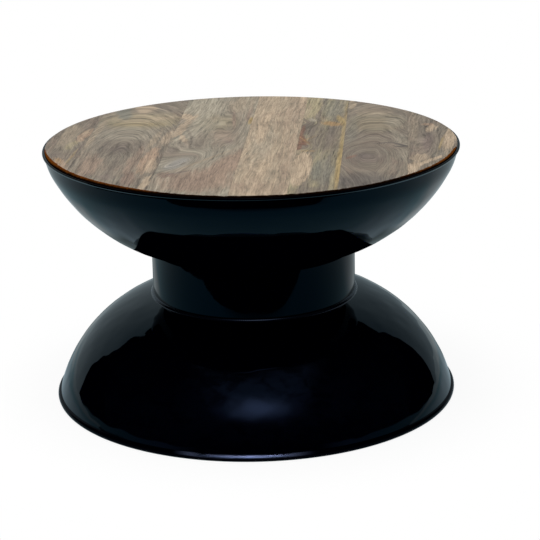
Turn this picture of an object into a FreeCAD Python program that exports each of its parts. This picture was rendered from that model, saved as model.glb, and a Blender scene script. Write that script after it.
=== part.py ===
import FreeCAD, Part
import math
import os

# A drum table: two spun iron dishes, mouth to mouth apart, joined back to back by a short neck,
# with a disc of edge-glued hardwood planks let into the mouth of the upper dish.
# Lengths are in millimetres and angles in degrees. The axis of the table is Z, the floor is Z = 0,
# and +Y points away from the viewer of the photograph.

V = FreeCAD.Vector
ORIGIN = V(0, 0, 0)
AXIS = V(0, 0, 1)

# Iron sheet, and the fits between pieces
sheet = 1.2                     # wall of the dishes and of the neck
seat_gap = 0.05                 # between curved faces that are welded or screwed tight
root_gap = 0.2                  # between the ends of the neck and the dishes, filled by the welds
cut_overrun = 5.0               # how far every cutting tool runs past the piece it cuts

# Lower dish, upside down on the floor, with a round bar bent into a ring round its mouth
ring_outer_radius = 344.4
ring_bar_radius = 6.0
ring_floor_flat = 0.35          # ground off under the bar, so that the table stands still
ring_overhang = 3.4             # bar beyond the outer face of the sheet
lower_arc_radius = 242.0
lower_arc_end_angle = 74.8      # slope where the arc passes into the straight wall
lower_wall_angle = 77.0         # slope of the straight wall, down to the ring
lower_wall_height = 4.0

# Neck, a rolled sleeve between the two dishes
neck_radius = 173.4
neck_height = 84.0              # showing between the dishes
weld_leg = 4.2
weld_crown = 0.5                # how far the face of a weld stands out from flat
access_radius = 150.0           # hole in the middle of each dish, to reach the screws under the top

# Upper dish, mouth up, with a half-round hoop outside its lip
lip_radius = 347.4              # outer face of the sheet
lip_height = 4.3                # upright part above the straight wall
upper_arc_radius = 281.5
upper_arc_end_angle = 64.5      # slope where the arc passes into the straight wall
upper_wall_angle = 75.5
upper_wall_height = 21.4
hoop_thickness = 2.6
hoop_height = 4.6

# Wooden top
top_fit_gap = 0.3               # between the wood and the inside of the upper dish
top_thickness = 20.0
top_proud = 2.8                 # wood above the lip
top_edge_bevel = 1.5
plank_turn = 4.5                # planks run this far clockwise from +Y
# Glue lines between the planks, as shares of the top's radius, from left to right
plank_seam_shares = (-0.809, -0.396, -0.027, 0.231, 0.452, 0.760)

# Battens across the underside of the planks
batten_width = 50.0
batten_thickness = 18.0
batten_place_share = 0.55       # of the top's radius, from its middle to the outer battens
batten_wall_gap = 8.0           # between a batten's corners and the dish
batten_end_chamfer = 6.0

# Steel tabs welded inside the upper dish, which carry the top
tab_count = 4
tab_start_angle = 20.0          # of the first tab, anticlockwise from the planks' crosswise direction
tab_width = 30.0
tab_reach = 30.0                # inwards from the dish, at the tab's top face
tab_thickness = 3.0
tab_corner_radius = 6.0
tab_hole_inset = 13.0           # from the tab's inner end to its hole

# Countersunk screws through the battens
batten_screw_radius = 2.0
batten_screw_length = 32.0
batten_screw_head_radius = 4.0
batten_screw_head_height = 2.4
batten_screw_edge_margin = 10.0  # least distance from a glue line, or from a batten's end

# Pan-head screws through the tabs
tab_screw_radius = 2.25
tab_screw_length = 17.0
tab_screw_head_radius = 4.6
tab_screw_head_height = 3.0
tab_hole_gap = 0.4              # round the screw, in the tab

# Cross recess and point shared by both kinds of screw
recess_width = 0.9
recess_reach_share = 0.55       # of the head's radius
recess_depth_share = 0.6        # of the head's height
point_length_share = 0.25       # of the screw's length
screw_hole_gap = 0.1            # round a screw and past its point


def at(radius, height):
    """A point of a section, in the XZ plane."""
    return V(radius, 0, height)


def line(start, end):
    return Part.LineSegment(start, end).toShape()


def arc(start, middle, end):
    return Part.Arc(start, middle, end).toShape()


def turned(edges):
    """The solid that a closed section makes when it is turned round the table's axis."""
    section = Part.Face(Part.Wire(edges))
    return section.revolve(ORIGIN, AXIS, 360)


def rotated(shape, angle):
    """A copy of the shape, turned anticlockwise round the table's axis."""
    copy = shape.copy()
    copy.rotate(ORIGIN, AXIS, angle)
    return copy


class Dish:
    """A spun dish: a flat middle, a wall that curves away from it on one arc, and a straight mouth.

    A slope is an angle from the flat, a rise is a distance along the axis from the flat's outer face,
    and an inset is a distance inwards from the outer face. A dish with its mouth up has direction 1,
    and one with its mouth down -1.
    """

    def __init__(self, mouth_radius, arc_radius, arc_end, wall_angle, wall_height, direction):
        self.mouth_radius = mouth_radius
        self.arc_radius = arc_radius
        self.arc_end = math.radians(arc_end)
        self.wall_angle = math.radians(wall_angle)
        self.direction = direction
        arc_end_radius = mouth_radius - wall_height / math.tan(self.wall_angle)
        self.flat_radius = arc_end_radius - arc_radius * math.sin(self.arc_end)
        self.height = arc_radius - arc_radius * math.cos(self.arc_end) + wall_height
        self.flat_z = 0.0

    def point(self, radius, rise):
        return at(radius, self.flat_z + self.direction * rise)

    def arc_slope(self, radius, inset=0.0):
        return math.asin((radius - self.flat_radius) / (self.arc_radius - inset))

    def arc_point(self, slope, inset=0.0):
        arc_radius = self.arc_radius - inset
        radius = self.flat_radius + arc_radius * math.sin(slope)
        return self.point(radius, self.arc_radius - arc_radius * math.cos(slope))

    def corner_slope(self, inset=0.0):
        """Slope at which the arc meets the straight wall, at any depth below the outer face."""
        turn = math.cos(self.wall_angle - self.arc_end) * self.arc_radius - inset
        return self.wall_angle - math.acos(turn / (self.arc_radius - inset))

    def wall_radius(self, rise, inset=0.0):
        """Radius of the straight wall."""
        reach = (self.height - rise) / math.tan(self.wall_angle)
        return self.mouth_radius - reach - inset / math.sin(self.wall_angle)

    def wall_rise(self, radius, inset=0.0):
        """Rise at which the straight wall has this radius."""
        short = self.mouth_radius - inset / math.sin(self.wall_angle) - radius
        return self.height - short * math.tan(self.wall_angle)

    def radius_at(self, z, inset=0.0):
        """Radius of the arc or of the straight wall at this height above the floor."""
        rise = self.direction * (z - self.flat_z)
        slope = math.acos((self.arc_radius - rise) / (self.arc_radius - inset))
        if slope > self.corner_slope(inset):
            return self.wall_radius(rise, inset)
        return self.arc_point(slope, inset).x

    def arc_edge(self, start_slope, end_slope, inset=0.0):
        """The stretch of the arc between two slopes."""
        middle_slope = (start_slope + end_slope) / 2
        return arc(*(self.arc_point(slope, inset) for slope in (start_slope, middle_slope, end_slope)))

    def side(self, start_slope, mouth, inset=0.0):
        """The wall from a slope on the arc, through the corner, to a point at the mouth."""
        corner_slope = self.corner_slope(inset)
        corner = self.arc_point(corner_slope, inset)
        return [self.arc_edge(start_slope, corner_slope, inset), line(corner, mouth)]


# Where everything sits, from the floor up
ring_centre_radius = ring_outer_radius - ring_bar_radius
ring_centre_z = ring_bar_radius - ring_floor_flat

lower_mouth_radius = ring_outer_radius - ring_overhang
lower = Dish(lower_mouth_radius, lower_arc_radius, lower_arc_end_angle, lower_wall_angle, lower_wall_height, -1)
lower.flat_z = ring_centre_z + lower.height
lower_joint_z = lower.arc_point(lower.arc_slope(neck_radius)).z

upper = Dish(lip_radius, upper_arc_radius, upper_arc_end_angle, upper_wall_angle, upper_wall_height, 1)
upper_joint_z = lower_joint_z + neck_height
upper.flat_z = upper_joint_z - upper.arc_point(upper.arc_slope(neck_radius)).z
lip_top_z = upper.flat_z + upper.height + lip_height

top_z = lip_top_z + top_proud
top_bottom_z = top_z - top_thickness
top_radius = lip_radius - sheet - top_fit_gap
batten_bottom_z = top_bottom_z - batten_thickness


def lower_rim_ring():
    """Round bar bent into a ring, ground flat where it stands on the floor."""
    bar = Part.makeTorus(ring_centre_radius, ring_bar_radius)
    bar.translate(V(0, 0, ring_centre_z))
    ground_off = Part.makeCylinder(ring_outer_radius + cut_overrun, cut_overrun, V(0, 0, -cut_overrun))
    return bar.cut(ground_off)


def lower_bowl():
    """The dish that stands on its mouth, its edge fitted to the top of the ring."""
    hole_slope = lower.arc_slope(access_radius)
    mouth_outside = lower.point(lower.mouth_radius, lower.height)
    mouth_inside = lower.point(lower.wall_radius(lower.height, sheet), lower.height)
    shell = turned([
        *lower.side(hole_slope, mouth_outside),
        line(mouth_outside, mouth_inside),
        *lower.side(hole_slope, mouth_inside, sheet)[::-1],
        line(lower.arc_point(hole_slope, sheet), lower.arc_point(hole_slope)),
    ])
    ring_room = Part.makeTorus(ring_centre_radius, ring_bar_radius + seat_gap)
    ring_room.translate(V(0, 0, ring_centre_z))
    return shell.cut(ring_room)


def neck_sleeve():
    """Sheet rolled into a sleeve, its ends cut to the slope of the dishes."""
    inner_radius = neck_radius - sheet
    lower_inner_z = lower.arc_point(lower.arc_slope(inner_radius)).z
    upper_inner_z = upper.arc_point(upper.arc_slope(inner_radius)).z
    bottom_outside = at(neck_radius, lower_joint_z + root_gap)
    top_outside = at(neck_radius, upper_joint_z - root_gap)
    top_inside = at(inner_radius, upper_inner_z - root_gap)
    bottom_inside = at(inner_radius, lower_inner_z + root_gap)
    return turned([
        line(bottom_outside, top_outside),
        line(top_outside, top_inside),
        line(top_inside, bottom_inside),
        line(bottom_inside, bottom_outside),
    ])


def neck_weld(dish):
    """Weld in the corner between the neck and a dish."""
    corner_radius = neck_radius + seat_gap
    corner_slope = dish.arc_slope(corner_radius, -seat_gap)
    toe_slope = dish.arc_slope(corner_radius + weld_leg, -seat_gap)
    corner = dish.arc_point(corner_slope, -seat_gap)
    toe = dish.arc_point(toe_slope, -seat_gap)
    top = corner - V(0, 0, dish.direction * weld_leg)
    half_face = (toe - top) * 0.5
    outwards = V(abs(half_face.z), 0, -dish.direction * half_face.x).normalize()
    crown = top + half_face + outwards * weld_crown
    return turned([
        line(corner, top),
        arc(top, crown, toe),
        dish.arc_edge(toe_slope, corner_slope, -seat_gap),
    ])


def upper_bowl():
    """The dish that holds the top, with an upright lip above its wall."""
    hole_slope = upper.arc_slope(access_radius)
    mouth_outside = upper.point(lip_radius, upper.height)
    lip_outer_top = at(lip_radius, lip_top_z)
    lip_inner_radius = lip_radius - sheet
    lip_inner_top = at(lip_inner_radius, lip_top_z)
    mouth_inside = upper.point(lip_inner_radius, upper.wall_rise(lip_inner_radius, sheet))
    return turned([
        *upper.side(hole_slope, mouth_outside),
        line(mouth_outside, lip_outer_top),
        line(lip_outer_top, lip_inner_top),
        line(lip_inner_top, mouth_inside),
        *upper.side(hole_slope, mouth_inside, sheet)[::-1],
        line(upper.arc_point(hole_slope, sheet), upper.arc_point(hole_slope)),
    ])


def upper_rim_hoop():
    """Half-round strip round the outside of the lip, flush with its top."""
    inner_radius = lip_radius + seat_gap
    top = at(inner_radius, lip_top_z)
    crown = at(lip_radius + hoop_thickness, lip_top_z - hoop_height / 2)
    bottom = at(inner_radius, lip_top_z - hoop_height)
    return turned([arc(top, crown, bottom), line(bottom, top)])


def top_disc():
    """The wooden top before it is parted into planks, its lower edge bevelled to suit the dish."""
    wall_inset = sheet + top_fit_gap
    axis_bottom = at(0, top_bottom_z)
    bottom_edge = at(upper.radius_at(top_bottom_z, wall_inset), top_bottom_z)
    bevel_top = upper.point(top_radius, upper.wall_rise(top_radius, wall_inset))
    side_top = at(top_radius, top_z - top_edge_bevel)
    face_edge = at(top_radius - top_edge_bevel, top_z)
    axis_top = at(0, top_z)
    return turned([
        line(axis_bottom, bottom_edge),
        line(bottom_edge, bevel_top),
        line(bevel_top, side_top),
        line(side_top, face_edge),
        line(face_edge, axis_top),
        line(axis_top, axis_bottom),
    ])


def plank_bounds():
    """Both edges of each plank, across the planks from left to right."""
    seams = [share * top_radius for share in plank_seam_shares]
    outside = top_radius + cut_overrun
    return list(zip([-outside] + seams, seams + [outside]))


def room_inside_upper_bowl():
    """All the space within the wall of the upper dish."""
    inset = sheet + seat_gap
    flat_edge = upper.arc_point(0, inset)
    mouth_edge = upper.point(upper.wall_radius(upper.height, inset), upper.height)
    mouth_middle = at(0, mouth_edge.z)
    flat_middle = at(0, flat_edge.z)
    return turned([
        *upper.side(0, mouth_edge, inset),
        line(mouth_edge, mouth_middle),
        line(mouth_middle, flat_middle),
        line(flat_middle, flat_edge),
    ])


def cross_recess(head_radius, head_height):
    """Cutter for the cross in a screw's head, which sits on the head's outer face at Z = 0."""
    reach = head_radius * recess_reach_share
    depth = head_height * recess_depth_share
    corner = V(-reach, -recess_width / 2, -cut_overrun)
    bar = Part.makeBox(2 * reach, recess_width, depth + cut_overrun, corner)
    other_bar = bar.copy()
    other_bar.rotate(ORIGIN, AXIS, 90)
    return bar.fuse(other_bar)


def countersunk_screw(spare=0.0):
    """Wood screw that points up, its head's flat face at Z = 0. The spare thickens it into its own hole."""
    radius = batten_screw_radius + spare
    head_radius = batten_screw_head_radius + spare
    point_length = batten_screw_length * point_length_share
    body_end = batten_screw_length - point_length
    head = Part.makeCone(head_radius, radius, batten_screw_head_height)
    shank = Part.makeCylinder(radius, body_end)
    if spare:
        return head.fuse(Part.makeCylinder(radius, batten_screw_length + spare))
    point = Part.makeCone(radius, 0, point_length, V(0, 0, body_end))
    recess = cross_recess(batten_screw_head_radius, batten_screw_head_height)
    return head.fuse([shank, point]).removeSplitter().cut(recess)


def pan_screw():
    """Wood screw that points up, with a domed head below Z = 0."""
    point_length = tab_screw_length * point_length_share
    body_end = tab_screw_length - point_length
    dome_rise = tab_screw_head_height
    dome_radius = (tab_screw_head_radius ** 2 + dome_rise ** 2) / (2 * dome_rise)
    edge = at(tab_screw_head_radius, 0)
    shoulder_angle = math.asin(tab_screw_head_radius / dome_radius) / 2
    shoulder = at(
        dome_radius * math.sin(shoulder_angle),
        dome_radius - dome_rise - dome_radius * math.cos(shoulder_angle),
    )
    crown = at(0, -dome_rise)
    head = turned([line(ORIGIN, edge), arc(edge, shoulder, crown), line(crown, ORIGIN)])
    shank = Part.makeCylinder(tab_screw_radius, body_end)
    point = Part.makeCone(tab_screw_radius, 0, point_length, V(0, 0, body_end))
    recess = cross_recess(tab_screw_head_radius, tab_screw_head_height)
    recess.translate(crown)
    return head.fuse([shank, point]).removeSplitter().cut(recess)


def placed(shape, spots):
    """A copy of the shape at each spot."""
    copies = []
    for spot in spots:
        copy = shape.copy()
        copy.translate(spot)
        copies.append(copy)
    return copies


def batten_half_length(centre_y):
    """How far a batten reaches to each side before its corners come near the dish."""
    corner_radius = upper.radius_at(batten_bottom_z, sheet + batten_wall_gap)
    return math.sqrt(corner_radius ** 2 - (abs(centre_y) + batten_width / 2) ** 2)


def batten_blank(centre_y):
    half_length = batten_half_length(centre_y)
    corner = V(-half_length, centre_y - batten_width / 2, batten_bottom_z)
    blank = Part.makeBox(2 * half_length, batten_width, batten_thickness, corner)
    lower_end_edges = [
        edge for edge in blank.Edges
        if abs(edge.CenterOfMass.z - batten_bottom_z) < seat_gap
        and abs(abs(edge.CenterOfMass.x) - half_length) < seat_gap
    ]
    return blank.makeChamfer(batten_end_chamfer, lower_end_edges)


def batten_screw_spots(centre_y):
    """One screw in the middle of every plank that the batten crosses widely enough."""
    reach = batten_half_length(centre_y) - batten_end_chamfer
    spots = []
    for left, right in plank_bounds():
        crossed_left = max(left, -reach)
        crossed_right = min(right, reach)
        if crossed_right - crossed_left >= 2 * batten_screw_edge_margin:
            spots.append(V((crossed_left + crossed_right) / 2, centre_y, batten_bottom_z))
    return spots


def tab_angles():
    return [tab_start_angle + number * 360 / tab_count for number in range(tab_count)]


def tab_outer_radius():
    """Where the top face of a tab meets the dish."""
    return upper.radius_at(top_bottom_z, sheet + seat_gap)


def support_tab(room):
    """Steel tab on the +X side, its outer end cut to the wall of the dish."""
    inner_end = tab_outer_radius() - tab_reach
    blank = Part.makeBox(
        tab_reach + cut_overrun, tab_width, tab_thickness,
        V(inner_end, -tab_width / 2, top_bottom_z - tab_thickness),
    )
    inner_corners = [
        edge for edge in blank.Edges
        if abs(edge.CenterOfMass.x - inner_end) < seat_gap
        and abs(abs(edge.CenterOfMass.y) - tab_width / 2) < seat_gap
    ]
    plate = blank.makeFillet(tab_corner_radius, inner_corners)
    hole = Part.makeCylinder(
        tab_screw_radius + tab_hole_gap, tab_thickness + 2 * cut_overrun,
        V(inner_end + tab_hole_inset, 0, top_bottom_z - tab_thickness - cut_overrun),
    )
    return plate.common(room).cut(hole)


def tab_screw_spot():
    return V(tab_outer_radius() - tab_reach + tab_hole_inset, 0, top_bottom_z - tab_thickness)


# The frame of the dishes
pieces = {
    "lower_rim_ring": lower_rim_ring(),
    "lower_bowl": lower_bowl(),
    "lower_neck_weld": neck_weld(lower),
    "neck_sleeve": neck_sleeve(),
    "upper_neck_weld": neck_weld(upper),
    "upper_bowl": upper_bowl(),
    "upper_rim_hoop": upper_rim_hoop(),
}

# The tabs, and the screws up through them into the planks
inside = room_inside_upper_bowl()
tab = support_tab(inside)
tab_screw = pan_screw()
tab_screw.translate(tab_screw_spot())
tab_screw_hole = Part.makeCylinder(
    tab_screw_radius + screw_hole_gap, tab_screw_length + screw_hole_gap, tab_screw_spot()
)
for number, angle in enumerate(tab_angles(), 1):
    pieces[f"support_tab_{number}"] = rotated(tab, angle)
pieces["tab_screws"] = Part.makeCompound([rotated(tab_screw, angle) for angle in tab_angles()])
wood_holes = [rotated(tab_screw_hole, angle) for angle in tab_angles()]

# The battens and their screws
outer_batten_y = batten_place_share * top_radius
batten_places = {
    "batten_front": -outer_batten_y,
    "batten_middle": 0.0,
    "batten_back": outer_batten_y,
}
screw = countersunk_screw()
screw_hole = countersunk_screw(screw_hole_gap)
batten_screws = []
for name, centre_y in batten_places.items():
    spots = batten_screw_spots(centre_y)
    holes = placed(screw_hole, spots)
    pieces[name] = batten_blank(centre_y).cut(holes)
    batten_screws += placed(screw, spots)
    wood_holes += holes
pieces["batten_screws"] = Part.makeCompound(batten_screws)

# The planks
disc = top_disc()
for number, (left, right) in enumerate(plank_bounds(), 1):
    strip = Part.makeBox(
        right - left, 2 * (top_radius + cut_overrun), top_thickness + 2 * cut_overrun,
        V(left, -top_radius - cut_overrun, top_bottom_z - cut_overrun),
    )
    pieces[f"plank_{number}"] = disc.common(strip).cut(wood_holes)

# The wooden top is built square to the axes, and turned with its tabs to the photographed direction
turned_pieces = ("plank", "batten", "support_tab", "tab_screws")
os.makedirs("parts", exist_ok=True)
for name, shape in pieces.items():
    if name.startswith(turned_pieces):
        shape = rotated(shape, -plank_turn)
    if not shape.isValid():
        raise ValueError(f"{name} is not a valid shape")
    shape.exportStep(f"parts/{name}.step")
    print(f"{name}: {len(shape.Solids)} solid(s), {shape.Volume / 1000:.1f} cm3")
print(f"height {top_z:.2f}, neck from {lower_joint_z:.2f} to {upper_joint_z:.2f}, top radius {top_radius:.2f}")
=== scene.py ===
import math

import bpy
from bpy.props import FloatProperty, FloatVectorProperty, IntProperty, PointerProperty
from mathutils import Matrix, Vector


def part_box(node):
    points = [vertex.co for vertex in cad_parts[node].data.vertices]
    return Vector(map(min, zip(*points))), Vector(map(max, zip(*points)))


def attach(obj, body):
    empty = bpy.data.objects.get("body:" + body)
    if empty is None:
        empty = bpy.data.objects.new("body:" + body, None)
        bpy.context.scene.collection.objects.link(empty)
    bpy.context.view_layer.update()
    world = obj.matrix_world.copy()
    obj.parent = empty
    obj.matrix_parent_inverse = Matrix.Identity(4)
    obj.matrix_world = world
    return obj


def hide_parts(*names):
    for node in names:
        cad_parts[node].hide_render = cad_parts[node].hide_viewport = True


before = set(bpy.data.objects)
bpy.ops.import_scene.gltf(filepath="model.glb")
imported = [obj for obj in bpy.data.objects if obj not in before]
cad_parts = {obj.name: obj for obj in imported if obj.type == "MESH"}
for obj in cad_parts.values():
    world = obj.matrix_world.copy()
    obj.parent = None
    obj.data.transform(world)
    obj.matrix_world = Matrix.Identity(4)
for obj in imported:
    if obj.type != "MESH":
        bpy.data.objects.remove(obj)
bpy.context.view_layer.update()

bl_info = {
    "name": "Drum Table",
    "version": (1, 0, 0),
    "blender": (4, 5, 0),
    "location": "View3D > Sidebar > Drum Table",
    "description": "Dresses the frame of a drum table with gloss-painted iron and worn planks",
    "category": "Add Mesh",
}

FULL_TURN = 2 * math.pi
QUARTER_TURN = math.pi / 2
IN_MILLIMETRES = 1000.0
SAME_PLACE = 0.00001

UPPER_DISH_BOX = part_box("upper_bowl")
LOWER_DISH_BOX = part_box("lower_bowl")
HOOP_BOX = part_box("upper_rim_hoop")
RING_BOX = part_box("lower_rim_ring")
NECK_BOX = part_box("neck_sleeve")
UPPER_WELD_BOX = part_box("upper_neck_weld")
TOP_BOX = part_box("plank_4")

NECK_RADIUS = NECK_BOX[1].x
LIP_RADIUS = UPPER_DISH_BOX[1].x
TOP_Z = TOP_BOX[1].z


def length(name, description, default):
    return FloatProperty(name=name, description=description, default=default, unit="LENGTH", precision=5)


def angle(name, description, degrees):
    return FloatProperty(name=name, description=description, default=math.radians(degrees), subtype="ANGLE")


def factor(name, description, default, top=1.0):
    return FloatProperty(
        name=name, description=description, default=default, min=0.0, max=top, subtype="FACTOR")


def tone(name, description, red, green, blue):
    """A colour as a paint chart gives it, in steps of 0 to 255."""
    return FloatVectorProperty(
        name=name, description=description, default=(red / 255, green / 255, blue / 255),
        min=0.0, max=1.0, size=3, subtype="COLOR_GAMMA")


def radiance(name, description, red, green, blue):
    return FloatVectorProperty(
        name=name, description=description, default=(red, green, blue), min=0.0, size=3, subtype="COLOR")


class DrumTableIron(bpy.types.PropertyGroup):
    """Sizes of the painted iron: the two dishes, the neck, the hoop and the floor ring."""

    sheet: length("Sheet", "Wall of the dishes and of the neck", 0.0012)
    hole_radius: length("Hole", "Radius of the hole in the middle of each dish", 0.150)
    upper_arc: length("Upper Arc", "Radius of the upper dish's curved wall", 0.2815)
    upper_arc_end: angle("Upper Arc End", "Slope where the upper arc meets the straight wall", 64.5)
    upper_wall: angle("Upper Wall", "Slope of the upper dish's straight wall", 75.5)
    upper_wall_height: length("Upper Wall Height", "Height of the upper dish's straight wall", 0.0214)
    lip_height: length("Lip Height", "Upright part above the straight wall", 0.0043)
    lower_arc: length("Lower Arc", "Radius of the lower dish's curved wall", 0.242)
    lower_arc_end: angle("Lower Arc End", "Slope where the lower arc meets the straight wall", 74.8)
    lower_wall: angle("Lower Wall", "Slope of the lower dish's straight wall", 77.0)
    lower_wall_height: length("Lower Wall Height", "Height of the lower dish's straight wall", 0.004)
    corner_turn: length("Corner Turn", "Length over which the lower wall's corner turns", 0.005)
    upper_corner_turn: length("Upper Corner Turn", "Length over which the upper wall's corner turns", 0.019)
    hoop_square: factor("Hoop Square", "Power that flattens the hoop's upper half; 1 is round", 0.6)
    bar_radius: length("Bar Radius", "Radius of the bar in the floor ring", 0.006)
    bar_overhang: length("Bar Overhang", "Bar beyond the outer face of the lower dish", 0.0034)
    weld_leg: length("Weld Leg", "Leg of the weld beads at the neck", 0.0042)
    weld_bulge: factor("Weld Bulge", "Fullness of the weld beads; at 0.5 their faces are straight", 0.74)
    weld_ripple: length("Weld Ripple", "Depth of the ripples along a weld bead", 0.0003)
    weld_pitch: length("Weld Pitch", "Distance between the ripples of a weld bead", 0.0034)
    true_at_neck: length("True at Neck", "How far from the neck the sheet is true", 0.03)
    wave_depth: length("Waves", "How far the spun sheet wavers from its true curve", 0.0006)
    wave_size: length("Wave Size", "Width of the shallow waves in the sheet", 0.085)
    dent_depth: length("Dents", "Depth of the hammer's dents", 0.0009)
    dent_size: length("Dent Size", "Width of the hammer's dents", 0.032)
    ring_steps: IntProperty(name="Steps", description="Facets round each turned piece", default=288)


class DrumTableWood(bpy.types.PropertyGroup):
    """Sizes of the planks."""

    plank_turn: angle("Plank Turn", "How far the planks run clockwise from +Y", 4.5)
    edge_round: length("Edge Round", "Rounding of the top's rim", 0.0015)
    seam_ease: length("Seam Ease", "Bevel along both sides of a glue line", 0.0003)
    face_band: length("Face Band", "Band of the face just inside the rounded rim", 0.0025)
    grain_relief: length("Grain Relief", "Depth of the raised grain", 0.0002)


class DrumTableTones(bpy.types.PropertyGroup):
    """Tones of the hardwood and of the finishes."""

    grey: tone("Grey", "Weathered heartwood", 123, 112, 97)
    dusk: tone("Dusk", "Darker grey-brown heartwood", 107, 96, 84)
    slate: tone("Slate", "Bluish grey of the figured spots", 131, 125, 116)
    moss: tone("Moss", "Greenish grey heartwood", 111, 107, 95)
    ash: tone("Ash", "Pale grey heartwood", 141, 132, 115)
    tan: tone("Tan", "Light heartwood", 141, 126, 106)
    straw: tone("Straw", "Pale sapwood", 161, 142, 119)
    blush: tone("Blush", "Pinkish sapwood", 148, 125, 104)
    cocoa: tone("Cocoa", "Warm brown heartwood", 135, 115, 98)
    olive: tone("Olive", "Olive heartwood", 139, 128, 101)
    honey: tone("Honey", "Yellow mineral streak", 147, 126, 84)
    amber: tone("Amber", "Orange branch wood", 146, 116, 75)
    rust: tone("Rust", "Red-brown streak", 112, 80, 63)
    umber: tone("Umber", "Brown heartwood", 120, 101, 87)
    plum: tone("Plum", "Purple-brown knot wood", 104, 90, 82)
    smoke: tone("Smoke", "Darkest heartwood", 84, 76, 70)
    # The rim's tone runs from Rim Light to Rim Dark, darker lower down the side and towards the front.
    rim_light: tone("Rim Light", "Stain worn thin at the top's rim", 82, 43, 10)
    rim_dark: tone("Rim Dark", "Stain on the top's side", 18, 7, 2)
    paint_black: tone("Paint", "Body colour of the gloss paint", 0, 0, 2)
    paint_sheen: radiance("Paint Sheen", "Tint of the paint's gloss", 0.13, 0.64, 1.0)
    # Gloss tint where the soft lamp's highlight falls on the lower dish's front: a painted highlight
    # colour.
    highlight_tint: radiance("Polished Sheen", "Tint of the lower dish's polished front", 0.34, 0.52, 1.0)
    bead_sheen: radiance("Bead Sheen", "Tint of the gloss on the lower weld bead", 0.46, 0.60, 0.90)
    hoop_sheen: radiance("Hoop Sheen", "Tint of the hoop's gloss", 0.60, 0.86, 1.0)
    ring_sheen: radiance("Ring Sheen", "Tint of the floor ring's gloss", 0.76, 0.54, 1.0)
    # Colour of the floor ring's painted highlight.
    ring_highlight_tone: tone("Scuff", "Rubbed paint and steel on the floor ring", 152, 168, 214)
    steel: tone("Steel", "Zinc-plated screws", 168, 168, 164)


class DrumTableStudio(bpy.types.PropertyGroup):
    """Camera, lamps and paper round the table. A sheen is how the gloss shows a part of the studio."""

    lens: FloatProperty(name="Lens", description="Focal length on a 36 mm sensor", default=130.34)
    camera_place: FloatVectorProperty(
        name="Camera", description="Where the camera stands", default=(0.0091, -3.1998, 1.2272), size=3,
        subtype="TRANSLATION", unit="LENGTH")
    camera_yaw: angle("Yaw", "Camera turned clockwise from +Y", 0.3342)
    camera_pitch: angle("Pitch", "Camera tilted up", -17.6326)
    camera_roll: angle("Roll", "Camera rolled anticlockwise", -1.1133)
    paper_front: length("Paper Front", "Front edge of the floor paper", -0.74)
    paper_sheen: radiance("Paper Sheen", "Floor paper far from the table", 0.47, 0.48, 0.48)
    shaded_sheen: radiance("Shaded Sheen", "Floor paper near the table", 0.22, 0.36, 0.41)
    close_sheen: radiance("Close Sheen", "Floor paper beside the foot", 0.38, 0.49, 0.55)
    tucked_sheen: radiance("Tucked Sheen", "Floor paper right behind the foot", 0.16, 0.205, 0.215)
    behind_sheen: radiance("Behind Sheen", "Floor paper a little behind the table", 0.46, 0.52, 0.54)
    far_sheen: radiance("Far Sheen", "Floor paper far behind the table", 0.39, 0.47, 0.50)
    edge_sheen: radiance("Edge Sheen", "Front edge of the floor paper", 0.02, 0.05, 0.06)
    left_sheen: radiance("Left Sheen", "Left of the backdrop", 0.33, 0.40, 0.43)
    right_sheen: radiance("Right Sheen", "Right of the backdrop", 0.22, 0.28, 0.31)
    ceiling_sheen: radiance("Ceiling Sheen", "Lit part of the ceiling", 0.29, 0.34, 0.34)
    wall_sheen: radiance("Wall Sheen", "Lit strip of the room's side walls", 0.17, 0.25, 0.28)
    room_sheen: radiance("Room Sheen", "Dark room", 0.0, 0.0, 0.0)
    window_sheen: radiance("Window Sheen", "Soft lamp on the camera's side", 2.6, 2.6, 2.8)
    halo_sheen: radiance("Halo Sheen", "Patchy light round the soft lamp", 0.7, 0.9, 1.2)
    halo_share: factor("Halo Share", "How much the halo adds", 0.13)
    overhead_sheen: radiance("Overhead Sheen", "Soft box overhead", 7.5, 7.0, 7.5)
    sky: factor("Sky", "Even light from all sides", 0.55, 4.0)
    top_lamp: FloatProperty(
        name="Top Lamp", description="Power of the overhead soft box", default=62.0, unit="POWER")
    top_lamp_size: length("Top Lamp Size", "Side of the overhead soft box", 2.6)
    floor_glow: factor("Floor Glow", "Share of the floor's white that no shadow takes away", 0.88)


SETTINGS = {
    "drum_iron": DrumTableIron,
    "drum_wood": DrumTableWood,
    "drum_tones": DrumTableTones,
    "drum_studio": DrumTableStudio,
}


# Working with meshes

def deselect_everything():
    if bpy.context.object and bpy.context.object.mode != "OBJECT":
        bpy.ops.object.mode_set(mode="OBJECT")
    bpy.ops.object.select_all(action="DESELECT")


def take(piece):
    """Select a piece alone and make it the active one."""
    deselect_everything()
    piece.select_set(True)
    bpy.context.view_layer.objects.active = piece


def edit(piece):
    """Leave a piece alone in edit mode, with all of it selected."""
    take(piece)
    bpy.ops.object.mode_set(mode="EDIT")
    bpy.ops.mesh.select_mode(type="VERT")
    bpy.ops.mesh.select_all(action="SELECT")


def select_vertices(piece, wanted):
    """Select the vertices whose place is wanted, and leave the piece in edit mode."""
    edit(piece)
    bpy.ops.mesh.select_all(action="DESELECT")
    bpy.ops.object.mode_set(mode="OBJECT")
    for vertex in piece.data.vertices:
        vertex.select = wanted(vertex.co)
    bpy.ops.object.mode_set(mode="EDIT")


def apply_modifiers(piece):
    take(piece)
    for modifier in list(piece.modifiers):
        bpy.ops.object.modifier_apply(modifier=modifier.name)


def smooth(piece, degrees=32):
    take(piece)
    bpy.ops.object.shade_smooth_by_angle(angle=math.radians(degrees))


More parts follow.
